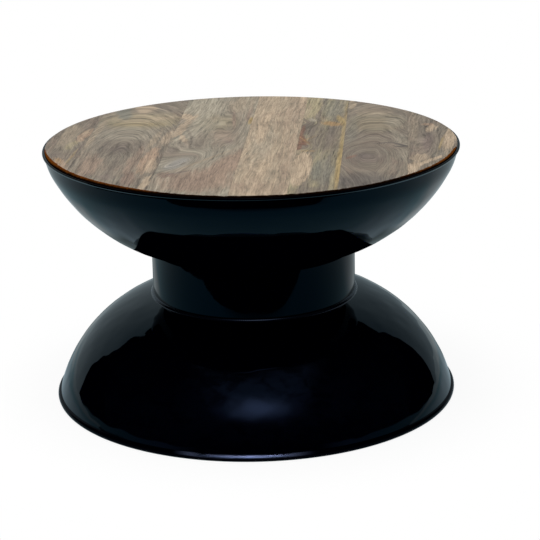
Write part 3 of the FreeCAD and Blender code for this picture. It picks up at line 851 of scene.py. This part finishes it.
# Planks from left to right. Places and radii are in millimetres from the middle of the top, across and
# along the planks.
PLANKS = (
    {"heart": (-420.0, 60.0, 0.05, 8.0), "pitch": 10.0, "follow": 0.8, "lines": 0.2,
     "dark": "dusk", "light": "grey",
     "knots": (
         (-318, -90, 9, 16, 0, 9.0, "plum", 0.6),
         (-300, 30, 16, 60, 0, 12.0, "grey", 0.2)),
     "patches": (
         ("tan", 0.6, -315, 40, 14, 90, 0, 3.0, 0.4),
         ("blush", 0.9, -290, 38, 9, 46, 6, 3.6, 0.25),
         ("straw", 0.6, -289, 62, 5, 22, 6, 3.0, 0.3),
         ("olive", 0.7, -302, -30, 9, 40, 10, 4.0, 0.3),
         ("dusk", 0.8, -316, -62, 9, 26, 0, 3.0, 0.4),
         ("honey", 0.4, -287, -95, 2.5, 60, 3, 2.0, 0.4),
         ("blush", 0.85, -300, -150, 9, 42, -16, 3.4, 0.25),
         ("amber", 0.5, -306, -128, 5, 20, -16, 3.4, 0.3),
         ("plum", 1.0, -283, -52, 1.8, 40, 1, 1.0, 0.4))},
    {"heart": (-212.0, 22.0, 0.34, 4.0), "pitch": 15.0, "follow": 0.98, "lines": 0.28,
     "dark": "dusk", "light": "grey",
     "knots": (
         (-214, -50, 22, 34, 0, 12.0, "dusk", 0.5),),
     "patches": (
         ("olive", 0.8, -207, 150, 66, 58, 0, 1.2, 0.45),
         ("straw", 0.35, -207, 160, 50, 40, 0, 1.6, 0.5),
         ("honey", 0.25, -202, 124, 50, 13, 0, 2.2, 0.6),
         ("straw", 0.4, -170, 170, 22, 12, -20, 2.2, 0.5),
         ("tan", 0.9, -272, 60, 6, 110, 2, 2.6, 0.4),
         ("ash", 0.6, -212, 52, 54, 50, 0, 0.8, 0.4),
         ("dusk", 0.75, -214, -44, 34, 52, 0, 1.0, 0.45),
         ("plum", 0.4, -216, -52, 13, 22, 0, 1.6, 0.5),
         ("moss", 0.9, -243, 205, 13, 46, -8, 2.6, 0.3),
         ("straw", 0.7, -209, 238, 16, 34, 2, 2.6, 0.3),
         ("cocoa", 0.8, -250, -165, 16, 66, 0, 2.4, 0.4),
         ("dusk", 1.0, -211, -175, 6, 80, 1, 1.6, 0.4),
         ("plum", 0.5, -214, -235, 14, 18, 0, 2.4, 0.4),
         ("cocoa", 0.6, -180, -130, 9, 90, 2, 2.6, 0.4),
         ("blush", 0.9, -157, -130, 12, 88, 3, 3.4, 0.25),
         ("tan", 0.7, -165, 10, 6, 60, 4, 3.0, 0.4),
         ("umber", 0.9, -174, -245, 12, 44, -4, 2.4, 0.3),
         ("straw", 0.8, -146, -275, 7, 52, 2, 2.6, 0.3),
         ("straw", 0.6, -150, -165, 10, 40, 0, 2.6, 0.4),
         ("straw", 0.6, -145, 25, 8, 56, 4, 2.6, 0.4))},
    {"heart": (60.0, 60.0, 0.04, 8.0), "pitch": 14.0, "follow": 0.96, "lines": 0.22,
     "dark": "grey", "light": "ash",
     "knots": (
         (-165, -10, 58, 150, 0, -46.0, "grey", 0.0),
         (-105, -142, 24, 58, 24, 60.0, "slate", 0.35),
         (-40, 118, 18, 110, 0, 26.0, "umber", 0.2),
         (-36, -2, 9, 14, 0, 7.0, "plum", 0.9)),
     "patches": (
         ("ash", 0.9, -105, 250, 34, 75, 0, 1.6, 0.4),
         ("tan", 0.6, -38, 275, 22, 60, 0, 2.0, 0.5),
         ("olive", 0.4, -70, 130, 34, 60, 0, 1.6, 0.5),
         ("ash", 0.5, -92, 120, 24, 70, -10, 2.0, 0.5),
         ("cocoa", 0.5, -50, 40, 20, 46, -12, 2.4, 0.5),
         ("straw", 1.0, -127, 178, 13, 26, -14, 3.4, 0.25),
         ("dusk", 0.95, -126, -62, 12, 28, 0, 2.6, 0.4),
         ("straw", 0.8, -129, 84, 7, 92, 8, 4.4, 0.25),
         ("straw", 0.8, -117, 20, 5, 60, -14, 4.0, 0.3),
         ("dusk", 0.6, -104, 28, 3, 66, -12, 2.0, 0.5),
         ("umber", 0.8, -42, 160, 3, 62, -5, 2.0, 0.5),
         ("dusk", 0.7, -30, 96, 3, 70, 4, 2.0, 0.5),
         ("umber", 0.6, -17, 200, 4, 46, 0, 2.0, 0.4),
         ("honey", 1.0, -12, 150, 3.4, 30, 2, 2.0, 0.35),
         ("cocoa", 1.0, -26, -165, 26, 132, 16, 1.8, 0.35),
         ("cocoa", 0.9, -62, -255, 62, 66, 0, 1.8, 0.4),
         ("umber", 0.5, -40, -190, 5, 100, 22, 2.2, 0.5),
         ("tan", 0.7, -62, -120, 3.5, 84, 30, 1.6, 0.5),
         ("slate", 1.0, -108, -150, 12, 40, 16, 1.6, 0.35),
         ("dusk", 0.8, -98, -150, 2.6, 11, 18, 2.4, 0.3),
         ("umber", 0.9, -114, -222, 15, 16, 0, 3.4, 0.3),
         ("plum", 0.7, -102, -208, 22, 4, -38, 3.0, 0.4),
         ("dusk", 0.7, -95, -22, 22, 36, 0, 1.6, 0.5),
         ("umber", 0.5, -76, -272, 26, 50, 0, 2.0, 0.5))},
    {"heart": (300.0, 60.0, 0.03, 7.0), "pitch": 9.0, "follow": 0.9, "lines": 0.2,
     "dark": "tan", "light": "straw",
     "knots": (
         (38, -110, 22, 230, 0, 9.0, "straw", 0.2),),
     "patches": (
         ("cocoa", 0.4, 60, 230, 16, 110, 0, 2.4, 0.5),
         ("tan", 0.6, 26, 285, 36, 60, 0, 2.4, 0.5),
         ("ash", 0.5, 20, 0, 20, 130, 0, 2.4, 0.5),
         ("cocoa", 0.35, 70, -150, 7, 200, 0, 2.0, 0.5),
         ("cocoa", 0.35, 40, -300, 30, 30, 0, 3.0, 0.5),
         ("cocoa", 0.5, 0, -296, 14, 26, 0, 2.0, 0.5),
         ("straw", 1.0, 13, 84, 12, 100, 0, 2.4, 0.4))},
    {"heart": (240.0, 60.0, 0.10, 6.0), "pitch": 12.0, "follow": 0.94, "lines": 0.28,
     "dark": "dusk", "light": "olive",
     "knots": (
         (80, 132, 24, 24, 0, 22.0, "dusk", 0.3),
         (93, -38, 12, 20, 0, 20.0, "dusk", 0.6)),
     "patches": (
         ("olive", 0.95, 92, 262, 15, 100, 3, 2.4, 0.3),
         ("tan", 0.6, 84, 220, 5, 60, 3, 2.4, 0.4),
         ("moss", 0.6, 130, 235, 17, 80, 0, 1.8, 0.4),
         ("ash", 0.9, 98, 152, 7, 14, -18, 2.2, 0.35),
         ("dusk", 0.9, 92, 88, 18, 40, 6, 2.0, 0.35),
         ("dusk", 0.75, 122, 20, 26, 84, 0, 2.0, 0.5),
         ("amber", 0.75, 133, 124, 20, 13, 40, 2.0, 0.35),
         ("honey", 0.8, 147, 152, 6, 34, -10, 2.4, 0.35),
         ("honey", 0.5, 154, 30, 3.4, 250, 0, 1.6, 0.5),
         ("honey", 0.8, 153, -160, 4.4, 160, 0, 1.6, 0.5),
         ("rust", 0.8, 82, 60, 4, 44, 3, 3.0, 0.35),
         ("rust", 0.95, 86, 10, 6, 34, -6, 3.4, 0.3),
         ("rust", 0.6, 92, -8, 11, 9, 30, 3.0, 0.3),
         ("amber", 0.6, 90, 4, 1.6, 34, -20, 1.4, 0.4),
         ("amber", 0.5, 96, 16, 1.6, 26, 30, 1.4, 0.4),
         ("rust", 0.8, 83, -40, 4, 24, 0, 2.6, 0.3),
         ("amber", 0.6, 98, -68, 13, 4, 0, 3.0, 0.3),
         ("straw", 1.0, 94, -176, 17, 100, 0, 1.8, 0.12),
         ("tan", 0.5, 84, -220, 5, 50, 0, 1.6, 0.4),
         ("moss", 0.6, 130, -195, 14, 90, 0, 1.6, 0.4),
         ("dusk", 0.8, 114, -316, 22, 24, 0, 2.0, 0.4),
         ("straw", 1.0, 91, -245, 13, 44, 0, 1.8, 0.2),
         ("moss", 0.7, 118, -196, 8, 62, 0, 1.6, 0.4))},
    {"heart": (212.0, 20.0, 0.26, 12.0), "pitch": 13.0, "follow": 0.97, "lines": 0.25,
     "dark": "dusk", "light": "grey",
     "knots": (
         (238, -32, 22, 14, 8, 26.0, "umber", 0.35),
         (185, -106, 44, 84, 0, -66.0, "dusk", 0.4),
         (192, -100, 10, 18, 0, -6.0, "smoke", 0.85)),
     "patches": (
         ("tan", 0.9, 163, 275, 6, 34, 0, 2.4, 0.3),
         ("tan", 0.5, 200, 212, 30, 26, 0, 3.0, 0.4),
         ("olive", 0.4, 205, 130, 46, 60, 0, 2.4, 0.5),
         ("moss", 0.4, 168, 70, 9, 90, 0, 2.0, 0.4),
         ("ash", 0.4, 250, 20, 9, 60, -12, 2.4, 0.4),
         ("smoke", 0.85, 222, -14, 15, 3.0, -18, 1.2, 0.35),
         ("smoke", 0.95, 250, -25, 23, 3.6, 46, 1.2, 0.35),
         ("smoke", 0.85, 250, -39, 12, 3.0, 17, 1.2, 0.35),
         ("ash", 0.7, 246, -31, 9, 1.8, 30, 1.0, 0.4),
         ("rust", 0.75, 171, -108, 16, 4, -57, 1.6, 0.35),
         ("plum", 0.5, 198, -116, 24, 30, 0, 1.4, 0.5),
         ("grey", 0.5, 215, -175, 30, 24, 0, 2.0, 0.5),
         ("smoke", 0.75, 195, -262, 50, 54, 0, 1.6, 0.5),
         ("ash", 0.6, 238, 136, 16, 34, 0, 2.0, 0.5),
         ("ash", 0.5, 256, -98, 9, 34, 0, 2.0, 0.5))},
    {"heart": (430.0, 60.0, 0.10, 12.0), "pitch": 10.0, "follow": 0.95, "lines": 0.24,
     "dark": "dusk", "light": "grey",
     "knots": (
         (296, 0, 14, 70, 0, 14.0, "plum", 0.5),),
     "patches": (
         ("tan", 0.4, 273, 120, 7, 120, 0, 2.4, 0.4),
         ("straw", 0.8, 303, 92, 8, 28, 8, 3.4, 0.2),
         ("blush", 0.9, 298, 118, 9, 9, 0, 3.4, 0.25),
         ("straw", 0.85, 334, 20, 11, 78, 6, 2.0, 0.25),
         ("honey", 0.55, 318, -20, 2.4, 46, 6, 2.4, 0.4),
         ("plum", 0.7, 297, -6, 8, 60, 4, 3.0, 0.4),
         ("straw", 0.9, 292, -140, 6, 50, 34, 4.6, 0.2),
         ("straw", 0.9, 282, -160, 5, 44, 24, 4.6, 0.2),
         ("straw", 0.9, 270, -180, 10, 44, 8, 4.0, 0.25),
         ("straw", 0.6, 282, -112, 16, 24, 20, 3.0, 0.3))},
)


def batten_wood(scene):
    """Plain light hardwood that nobody sees, its grain along X."""
    tones = scene.drum_tones
    material, bench, shader = new_material("plain_hardwood")
    place = object_place(bench, IN_MILLIMETRES, QUARTER_TURN)
    field = bench.group(wood_rings(), {
        "Place": place, "Heart Across": 500.0, "Heart Depth": 60.0, "Heart Rise": 0.05, "Wander": 5.0,
        "Seed": 3.0})["Field"]
    figure = bench.group(wood_figure(), {
        "Field": field, "Place": place, "Pitch": 8.0, "Follow": 0.4, "Lines": 0.2})
    colour = bench.blend(figure["Bands"], linear(tones.tan), linear(tones.straw))
    bench.fill(shader, {
        "Base Color": bench.blend(1.0, colour, bench.grey(figure["Shade"]), "MULTIPLY"),
        "Roughness": 0.65})
    bench.emboss(shader, figure["Fibres"], scene.drum_wood.grain_relief, strength=0.5)
    return material


def screw_steel(scene):
    """Zinc-plated steel with fine turning marks."""
    material, bench, shader = new_material("plated_steel")
    marks = bench.noise(object_place(bench, IN_MILLIMETRES), detail=3.0, roughness=0.6, scale=2.0)
    bench.fill(shader, {
        "Base Color": linear(scene.drum_tones.steel),
        "Metallic": 1.0,
        "Roughness": bench.remap(marks, 0.3, 0.7, 0.28, 0.5)})
    bench.emboss(shader, marks, 0.00005, strength=0.2)
    return material


# Operators, one for each piece or group of pieces

def spin_dish(scene, name, node, section, inside_z, from_rim, waves_begin, waves_whole):
    """Spin a dish from sheet that wavers between the neck and the rim.

    from_rim gives the distance between a height and the rim. The waves begin and are whole at the other
    two distances.
    """
    iron = scene.drum_iron
    piece = turn_rings(name, section, iron.ring_steps)
    face_outwards(piece, inside_z)

    def weight(place):
        from_neck = place.xy.length - NECK_RADIUS
        beyond_neck = ease(from_neck, 2 * iron.weld_leg, iron.true_at_neck)
        return beyond_neck * ease(from_rim(place.z), waves_begin, waves_whole)

    waver(piece, ((iron.wave_depth, iron.wave_size), (iron.dent_depth, iron.dent_size)), weight)
    thicken(piece, iron.sheet)
    smooth(piece)
    finish_piece(piece, find_paint(scene), "black_gloss_paint", node)


class DRUM_OT_upper_dish(bpy.types.Operator):
    """Spin the upper dish from sheet, mouth up"""

    bl_idname = "drum.upper_dish"
    bl_label = "Upper Dish"

    def execute(self, context):
        lip_z = UPPER_DISH_BOX[1].z
        section = upper_section(context.scene.drum_iron)
        section += spaced((LIP_RADIUS, section[-1][1]), (LIP_RADIUS, lip_z), 3)[1:]
        section.append((LIP_RADIUS, lip_z))
        spin_dish(context.scene, "upper_dish", "upper_bowl", section, lip_z,
                  lambda z: HOOP_BOX[0].z - z, 0.008, 0.075)
        return {"FINISHED"}


class DRUM_OT_lower_dish(bpy.types.Operator):
    """Spin the lower dish from sheet, mouth down"""

    bl_idname = "drum.lower_dish"
    bl_label = "Lower Dish"

    def execute(self, context):
        section = lower_section(context.scene.drum_iron)
        section = [point for point in section if point[1] > LOWER_DISH_BOX[0].z]
        spin_dish(context.scene, "lower_dish", "lower_bowl", section, 0.0,
                  lambda z: z - RING_BOX[1].z, 0.0, 0.03)
        return {"FINISHED"}


class DRUM_OT_neck(bpy.types.Operator):
    """Roll the neck and lay the two weld beads at its ends"""

    bl_idname = "drum.neck"
    bl_label = "Neck and Welds"

    def execute(self, context):
        scene = context.scene
        iron = scene.drum_iron
        paint = find_paint(scene)
        lower, upper = lower_section(iron), upper_section(iron)
        bottom = height_at(lower, NECK_RADIUS)
        top = height_at(upper, NECK_RADIUS)
        section = spaced((NECK_RADIUS, bottom), (NECK_RADIUS, top), 16) + [(NECK_RADIUS, top)]
        sleeve = turn_rings("neck", section, iron.ring_steps)
        face_outwards(sleeve, (bottom + top) / 2)
        thicken(sleeve, iron.sheet)
        smooth(sleeve)
        finish_piece(sleeve, paint, "black_gloss_paint", "neck_sleeve")
        self.lay_bead(iron, "lower_weld_bead", "lower_neck_weld", lower, bottom, 1, bead_paint(scene))
        self.lay_bead(iron, "upper_weld_bead", "upper_neck_weld", upper, top, -1, paint)
        return {"FINISHED"}

    def lay_bead(self, iron, name, node, section, end, direction, finish):
        radius = NECK_RADIUS
        leg = iron.weld_leg
        sunk = iron.sheet / 2
        toe = (radius + leg, height_at(section, radius + leg))
        top = (radius, end + direction * leg)
        middle = (radius + leg * iron.weld_bulge, end + direction * leg * iron.weld_bulge)
        root = (radius - sunk, end - direction * sunk)
        face = softened(top, middle, toe, 6)
        closed = [root, (radius - sunk, top[1])] + face + [(toe[0], toe[1] - direction * sunk), root]
        ripples = round(FULL_TURN * radius / iron.weld_pitch)
        bead = turn_rings(name, closed, ripples * 4)
        close_section(bead)

        def weight(place):
            turn = math.atan2(place.y, place.x)
            uneven = 0.35 * math.sin(7 * turn + 1.0) + 0.25 * math.sin(17 * turn) + 0.4
            wave = abs(math.sin(ripples * turn / 2))
            out = ease(place.xy.length, radius - sunk / 2, radius + leg / 3)
            return out * max(0.0, min(1.0, 0.75 * wave + 0.4 * uneven))

        waver(bead, ((iron.weld_ripple * 2, None),), weight)
        smooth(bead, 50)
        finish_piece(bead, finish, "black_gloss_paint", node)


class DRUM_OT_rims(bpy.types.Operator):
    """Bend the half-round hoop at the lip and the round bar on the floor"""

    bl_idname = "drum.rims"
    bl_label = "Hoop and Floor Ring"

    def execute(self, context):
        iron = context.scene.drum_iron
        low, high = HOOP_BOX
        half = (high.z - low.z) / 2
        reach = high.x - LIP_RADIUS
        section = []
        for slope in self.slopes(math.pi, 24):
            square = iron.hoop_square if slope > 0 else 1.0
            rise = math.copysign(abs(math.sin(slope)) ** square, slope)
            section.append((LIP_RADIUS + reach * math.cos(slope) ** square, low.z + half + half * rise))
        section.append(section[0])
        self.bend(iron, "rim_hoop", "upper_rim_hoop", section, hoop_paint(context.scene))

        bar = iron.bar_radius
        middle, middle_z = RING_BOX[1].x - bar, RING_BOX[1].z - bar
        section = [(middle + bar * math.cos(slope), max(0.0, middle_z + bar * math.sin(slope)))
                   for slope in self.slopes(FULL_TURN, 28)]
        self.bend(iron, "floor_ring", "lower_rim_ring", section, ring_paint(context.scene))
        return {"FINISHED"}

    def slopes(self, turn, steps):
        """Slopes round a bar's section, from straight down through this turn."""
        return [turn * step / steps - QUARTER_TURN for step in range(steps + 1)]

    def bend(self, iron, name, node, section, finish):
        piece = turn_rings(name, section, iron.ring_steps)
        close_section(piece)
        smooth(piece, 40)
        finish_piece(piece, finish, "black_gloss_paint", node)


class DRUM_OT_planks(bpy.types.Operator):
    """Saw the seven planks from one rounded disc and ease their edges"""

    bl_idname = "drum.planks"
    bl_label = "Planks"

    def execute(self, context):
        for number, figure in enumerate(PLANKS, start=1):
            node = f"plank_{number}"
            piece = self.saw(context, node)
            material = plank_wood(context.scene, f"wood_of_{node}", seed=37.0 * number, **figure)
            finish_piece(piece, material, "mango_wood", node)
        return {"FINISHED"}

    def saw(self, context, node):
        wood = context.scene.drum_wood
        across = Vector((math.cos(wood.plank_turn), -math.sin(wood.plank_turn), 0))
        places = [vertex.co.dot(across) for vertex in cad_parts[node].data.vertices]
        seams = [(place, keep_right) for place, keep_right in ((min(places), True), (max(places), False))
                 if abs(place) < TOP_BOX[1].y * 0.99]
        piece = self.disc(context, f"top_{node}")
        for place, keep_right in seams:
            edit(piece)
            bpy.ops.mesh.bisect(
                plane_co=across * place, plane_no=across, use_fill=True,
                clear_inner=keep_right, clear_outer=not keep_right, threshold=SAME_PLACE)
        for place, _ in seams:
            select_vertices(piece, lambda co: (
                abs(co.dot(across) - place) < 2 * SAME_PLACE and co.z > TOP_Z - 2 * SAME_PLACE))
            bpy.ops.mesh.bevel(offset=wood.seam_ease, segments=2, affect="EDGES")
        make_consistent(piece)
        smooth(piece, 40)
        return piece

    def disc(self, context, name):
        """The whole top, whose side follows the upper dish below a height."""
        wood = context.scene.drum_wood
        places = [vertex.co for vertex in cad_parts["plank_4"].data.vertices]
        radius = max(co.xy.length for co in places)
        bottom_z = TOP_BOX[0].z
        bottom_radius = max(co.xy.length for co in places if co.z < bottom_z + SAME_PLACE)
        wall_z = min(co.z for co in places if co.xy.length > radius - SAME_PLACE)
        edge = wood.edge_round
        section = [(bottom_radius * 0.98, bottom_z), (bottom_radius, bottom_z), (radius, wall_z)]
        steps = 6
        for step in range(steps + 1):
            slope = QUARTER_TURN * step / steps
            section.append((radius - edge + edge * math.cos(slope), TOP_Z - edge + edge * math.sin(slope)))
        section.append((radius - edge - wood.face_band, TOP_Z))
        piece = turn_rings(name, section, context.scene.drum_iron.ring_steps)
        bpy.ops.mesh.edge_face_add()
        select_vertices(piece, lambda co: (
            abs(co.z - bottom_z) < SAME_PLACE and co.xy.length < bottom_radius * 0.985))
        bpy.ops.mesh.edge_face_add()
        make_consistent(piece)
        return piece


class DRUM_OT_underside(bpy.types.Operator):
    """Finish the battens, tabs and screws that carry the top"""

    bl_idname = "drum.underside"
    bl_label = "Battens, Tabs and Screws"

    def execute(self, context):
        wood = batten_wood(context.scene)
        steel = screw_steel(context.scene)
        paint = find_paint(context.scene)
        finishes = {"batten_front": wood, "batten_middle": wood, "batten_back": wood,
                    "batten_screws": steel, "tab_screws": steel}
        finishes.update({f"support_tab_{number}": paint for number in range(1, 5)})
        for node, material in finishes.items():
            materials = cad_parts[node].data.materials
            materials.clear()
            materials.append(material)
        return {"FINISHED"}


class DRUM_OT_stage(bpy.types.Operator):
    """Set up the floor paper, the backdrop, the lamps and the camera"""

    bl_idname = "drum.stage"
    bl_label = "Stage"

    def execute(self, context):
        scene = context.scene
        studio = scene.drum_studio
        scene.view_settings.view_transform = "Standard"
        self.floor(studio)
        self.backdrop(studio)
        self.lamps(scene, studio)
        self.world(scene, studio)
        self.camera(scene, studio)
        return {"FINISHED"}

    def sheet(self, name, corners):
        """A flat sheet of paper with these corners, its material and the bench for it, still empty."""
        deselect_everything()
        bpy.ops.mesh.primitive_plane_add(size=2)
        sheet = bpy.context.object
        sheet.name = name
        mesh = sheet.data
        mesh.clear_geometry()
        mesh.from_pydata(corners, [], [tuple(range(len(corners)))])
        material = bpy.data.materials.new(name)
        mesh.materials.append(material)
        return sheet, self.bare_bench(material)

    def bare_bench(self, owner):
        owner.use_nodes = True
        owner.node_tree.nodes.clear()
        return Bench(owner.node_tree)

    def mixed(self, bench, mask, first, second):
        return bench.node("ShaderNodeMixShader", {0: mask, 1: first, 2: second}).outputs[0]

    def floor(self, studio):
        """White paper that fades the shadows far from the foot. The gloss sees it as a glow of its own,
        with painted light and shade round the foot.
        """
        front = studio.paper_front
        _, bench = self.sheet("floor_paper", [
            (-6, 8, 0), (-6, 0.6, 0), (-0.95, -0.10, 0), (-0.87, -0.33, 0), (-0.74, -0.53, 0),
            (-0.30, front + 0.05, 0), (0, front, 0), (0.35, front + 0.07, 0), (0.76, front + 0.11, 0),
            (6, front + 0.5, 0), (6, 8, 0)])
        rays = bench.node("ShaderNodeLightPath").outputs
        place = bench.node("ShaderNodeTexCoord").outputs["Object"]
        white = bench.node("ShaderNodeBsdfDiffuse", {"Color": (1.0, 1.0, 1.0)}).outputs[0]
        far = bench.zone((bench.length(place), 0.36, 0.62))
        shadowed = 1 - studio.floor_glow
        glow = bench.node("ShaderNodeEmission", {
            "Strength": bench.times_plus(far, shadowed, studio.floor_glow)}).outputs[0]
        shaded = bench.node("ShaderNodeBsdfDiffuse", {
            "Color": bench.grey(bench.times(bench.minus(1.0, far), shadowed))}).outputs[0]
        seen = bench.node("ShaderNodeAddShader", {0: glow, 1: shaded}).outputs[0]
        sheen = bench.node("ShaderNodeEmission", {
            "Color": self.floor_sheen(bench, place, studio)}).outputs[0]
        lit = self.mixed(bench, rays["Is Camera Ray"], white, seen)
        bench.node("ShaderNodeOutputMaterial", {
            "Surface": self.mixed(bench, rays["Is Glossy Ray"], lit, sheen)})

    def floor_sheen(self, bench, place, studio):
        """The floor's glow in the gloss: painted shade near the foot, darkest just behind it, and painted
        light beside it and further behind. The zones' limits are metres from the middle of the table.
        """
        reach = bench.length(place)
        parts = bench.parts(place)
        depth = parts["Y"]
        beside = bench.zone((reach, 0.66, 0.42), (depth, -0.24, -0.04))
        behind = bench.zone((depth, 0.22, 0.46), (parts["X"], -0.64, -0.54))
        # Painted shade right behind the foot.
        tucked = bench.zone((depth, 0.1, 0.2), (bench.unsigned(parts["X"]), 0.43, 0.35))
        close = bench.blend(beside, studio.shaded_sheen, studio.close_sheen)
        close = bench.blend(behind, close, studio.behind_sheen)
        close = bench.blend(tucked, close, studio.tucked_sheen)
        distant = bench.blend(bench.zone((depth, 0.1, 0.5)), studio.paper_sheen, studio.far_sheen)
        sheen = bench.blend(bench.zone((reach, 0.6, 1.3)), close, distant)
        return bench.blend(bench.zone((depth, -0.60, -0.76)), sheen, studio.edge_sheen)

    def backdrop(self, studio):
        backdrop, bench = self.sheet("backdrop_paper", [
            (-2.45, 1.5, 0), (2.4, 1.5, 0), (2.0, 1.5, 0.55), (1.96, 1.5, 1.8), (-1.8, 1.5, 2.0),
            (-2.3, 1.5, 1.5), (-2.3, 1.5, 0.6)])
        place = bench.node("ShaderNodeTexCoord").outputs["Object"]
        right = bench.zone((bench.parts(place)["X"], -0.8, 0.8))
        sheen = bench.node("ShaderNodeEmission", {
            "Color": bench.blend(right, studio.left_sheen, studio.right_sheen)}).outputs[0]
        bench.node("ShaderNodeOutputMaterial", {"Surface": sheen})
        backdrop.visible_camera = False
        backdrop.visible_diffuse = False
        backdrop.visible_shadow = False

    def lamps(self, scene, studio):
        lamp = bpy.data.lights.new("top_lamp", "AREA")
        lamp.shape = "SQUARE"
        lamp.size = studio.top_lamp_size
        lamp.energy = studio.top_lamp
        soft_box = bpy.data.objects.new("top_lamp", lamp)
        soft_box.location = (-0.2, -0.3, 2.6)
        soft_box.visible_glossy = False
        soft_box.visible_camera = False
        scene.collection.objects.link(soft_box)

    def world(self, scene, studio):
        scene.world = bpy.data.worlds.new("studio")
        bench = self.bare_bench(scene.world)
        rays = bench.node("ShaderNodeLightPath").outputs
        direction = bench.node("ShaderNodeTexCoord").outputs["Generated"]

        def light(colour, strength=1.0):
            return bench.node("ShaderNodeBackground", {"Color": colour, "Strength": strength}).outputs[0]

        white = (1.0, 1.0, 1.0)
        room = light(self.room(bench, direction, studio))
        unseen = self.mixed(bench, rays["Is Glossy Ray"], light(white, studio.sky), room)
        bench.node("ShaderNodeOutputWorld", {
            "Surface": self.mixed(bench, rays["Is Camera Ray"], unseen, light(white))})

    def room(self, bench, direction, studio):
        """Tones of the room in the gloss. The zones' limits are parts of a direction of length 1."""
        parts = bench.parts(direction)
        sideways = bench.unsigned(parts["X"])
        window = self.soft_lamp(bench, direction, azimuth=2.0, elevation=44.5, wide=0.22, high=0.13)
        halo = self.soft_lamp(bench, direction, azimuth=3.0, elevation=48.0, wide=0.75, high=0.42)
        patches = bench.noise(direction, detail=3.0, roughness=0.6, scale=5.0)
        patchy = bench.remap(patches, 0.36, 0.62, 0.25, 1.0)
        halo = bench.times(halo, patchy, studio.halo_share)
        rise = bench.minus(bench.times_plus(parts["Y"], 0.15, parts["Z"]), 0.038)
        strip = bench.zone((sideways, 0.52, 0.80), (bench.unsigned(rise), 0.036, 0.020))
        ceiling = bench.zone(
            (sideways, 0.58, 0.25), (parts["Z"], 0.60, 0.85), (parts["Z"], 0.99, 0.90),
            (parts["Y"], 0.05, -0.2))
        overhead = bench.zone((parts["Z"], 0.984, 0.992))
        glow = bench.blend(window, studio.room_sheen, studio.window_sheen)
        glow = bench.blend(halo, glow, studio.halo_sheen, "ADD")
        glow = bench.blend(strip, glow, studio.wall_sheen)
        glow = bench.blend(bench.times(ceiling, patchy), glow, studio.ceiling_sheen, "ADD")
        return bench.blend(overhead, glow, studio.overhead_sheen)

    def soft_lamp(self, bench, direction, azimuth, elevation, wide, high):
        """How brightly a soft lamp on the camera's side shows in this direction."""
        azimuth = math.radians(azimuth)
        elevation = math.radians(elevation)
        ahead = Vector((math.sin(azimuth) * math.cos(elevation), -math.cos(azimuth) * math.cos(elevation),
                        math.sin(elevation)))
        sideways = Vector((math.cos(azimuth), math.sin(azimuth), 0))
        upwards = ahead.cross(sideways)
        side = bench.over(bench.dot(direction, tuple(sideways)), wide)
        rise = bench.over(bench.dot(direction, tuple(upwards)), high)
        in_front = bench.math("GREATER_THAN", bench.dot(direction, tuple(ahead)), 0.0)
        square = bench.plus(bench.times(side, side), bench.times(rise, rise))
        return bench.times(bench.bell(square), in_front)

    def camera(self, scene, studio):
        camera = bpy.data.cameras.new("camera")
        camera.lens = studio.lens
        camera.sensor_width = 36
        holder = bpy.data.objects.new("camera", camera)
        scene.collection.objects.link(holder)
        yaw, pitch, roll = studio.camera_yaw, studio.camera_pitch, studio.camera_roll
        ahead = Vector((math.sin(yaw) * math.cos(pitch), math.cos(yaw) * math.cos(pitch), math.sin(pitch)))
        level = Vector((math.cos(yaw), -math.sin(yaw), 0))
        upright = level.cross(ahead)
        right = math.cos(roll) * level + math.sin(roll) * upright
        up = -math.sin(roll) * level + math.cos(roll) * upright
        turn = Matrix((right, up, -ahead)).transposed().to_4x4()
        holder.matrix_world = Matrix.Translation(studio.camera_place) @ turn
        scene.camera = holder


OPERATORS = (
    DRUM_OT_stage, DRUM_OT_upper_dish, DRUM_OT_lower_dish, DRUM_OT_neck, DRUM_OT_rims, DRUM_OT_planks,
    DRUM_OT_underside,
)


class DRUM_PT_sidebar(bpy.types.Panel):
    """Lists the steps that dress the drum table"""

    bl_idname = "DRUM_PT_sidebar"
    bl_label = "Drum Table"
    bl_space_type = "VIEW_3D"
    bl_region_type = "UI"
    bl_category = "Drum Table"

    def draw(self, context):
        for operator in OPERATORS:
            self.layout.operator(operator.bl_idname)
        for name, group in SETTINGS.items():
            box = self.layout.box()
            box.label(text=group.bl_rna.name)
            for setting in group.__annotations__:
                box.prop(getattr(context.scene, name), setting)


def register():
    for registered in (*SETTINGS.values(), *OPERATORS, DRUM_PT_sidebar):
        bpy.utils.register_class(registered)
    for name, group in SETTINGS.items():
        setattr(bpy.types.Scene, name, PointerProperty(type=group))


def unregister():
    for name in SETTINGS:
        delattr(bpy.types.Scene, name)
    for registered in (DRUM_PT_sidebar, *reversed(OPERATORS), *SETTINGS.values()):
        bpy.utils.unregister_class(registered)


def main():
    register()
    bpy.ops.drum.stage()
    bpy.ops.drum.upper_dish()
    bpy.ops.drum.lower_dish()
    bpy.ops.drum.neck()
    bpy.ops.drum.rims()
    bpy.ops.drum.planks()
    bpy.ops.drum.underside()


if __name__ == "__main__":
    main()
